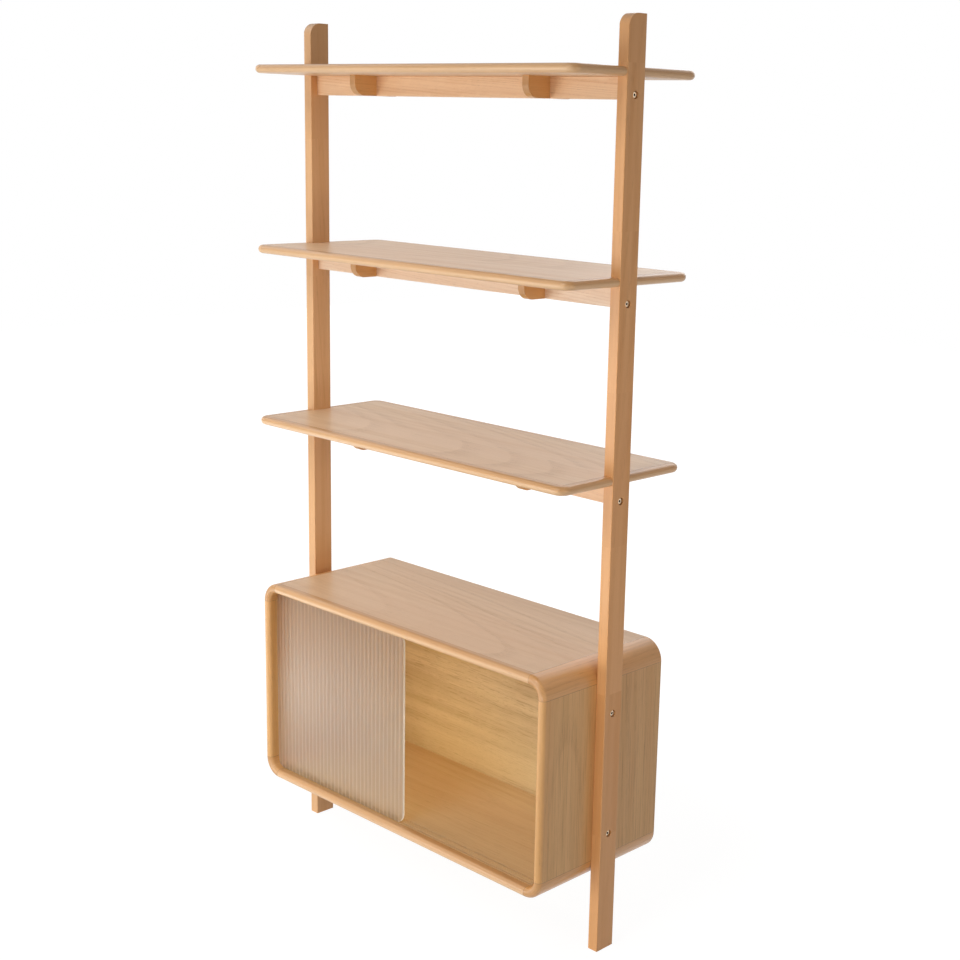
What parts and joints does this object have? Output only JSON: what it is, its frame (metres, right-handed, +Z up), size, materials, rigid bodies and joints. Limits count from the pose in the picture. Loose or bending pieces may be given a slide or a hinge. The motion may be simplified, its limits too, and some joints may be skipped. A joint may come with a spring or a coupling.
{
  "type": "shelving unit",
  "caption": "Open shelving unit on slim posts: bullnosed shelves on rails and bearers, above a low cabinet with rounded corners and a fluted sliding door.",
  "frame": {"origin": "on the floor, midway between the two posts and at the middle of their depth; the middle of the whole box lies 5.5 mm behind it, because the shelves sit 10 mm back", "axes": "+Z up, +X to the right along the width, -Y to the front where the sliding door is"},
  "size_m": [0.965, 0.371, 1.9],
  "materials": {
    "oak_solid": "satin clear lacquer",
    "oak_veneer": "satin clear lacquer",
    "oak_back": "satin clear lacquer",
    "beech": "plain",
    "reeded_glass": "fluted, clear",
    "steel": "zinc plated"
  },
  "bodies": {
    "unit": {"post_left": "oak_solid", "post_right": "oak_solid", "shelf_top_panel": "oak_veneer", "shelf_top_lip_front": "oak_solid", "shelf_top_lip_back": "oak_solid", "shelf_top_lip_left": "oak_solid", "shelf_top_lip_right": "oak_solid", "shelf_middle_panel": "oak_veneer", "shelf_middle_lip_front": "oak_solid", "shelf_middle_lip_back": "oak_solid", "shelf_middle_lip_left": "oak_solid", "shelf_middle_lip_right": "oak_solid", "shelf_low_panel": "oak_veneer", "shelf_low_lip_front": "oak_solid", "shelf_low_lip_back": "oak_solid", "shelf_low_lip_left": "oak_solid", "shelf_low_lip_right": "oak_solid", "rail_top": "oak_solid", "rail_middle": "oak_solid", "rail_low": "oak_solid", "bearer_top_left": "oak_solid", "bearer_top_right": "oak_solid", "bearer_middle_left": "oak_solid", "bearer_middle_right": "oak_solid", "bearer_low_left": "oak_solid", "bearer_low_right": "oak_solid", "cabinet_top": "oak_veneer", "cabinet_floor": "oak_veneer", "cabinet_side_left": "oak_veneer", "cabinet_side_right": "oak_veneer", "cabinet_back": "oak_back", "corner_top_left": "oak_solid", "corner_top_right": "oak_solid", "corner_floor_left": "oak_solid", "corner_floor_right": "oak_solid", "lip_cabinet_top": "oak_solid", "lip_cabinet_floor": "oak_solid", "lip_cabinet_left": "oak_solid", "lip_cabinet_right": "oak_solid", "bolts_left": "steel", "bolts_right": "steel", "barrel_nuts": "steel", "threaded_inserts": "steel", "rail_dowels": "beech", "corner_tongues": "beech", "shelf_screws": "steel", "back_screws": "steel"},
    "door": {"sliding_door": "reeded_glass"}
  },
  "joints": [
    {"name": "door_slide", "type": "slide", "parent": "unit", "child": "door", "axis": [1, 0, 0], "range_m": [0, 0.4195]}
  ]
}
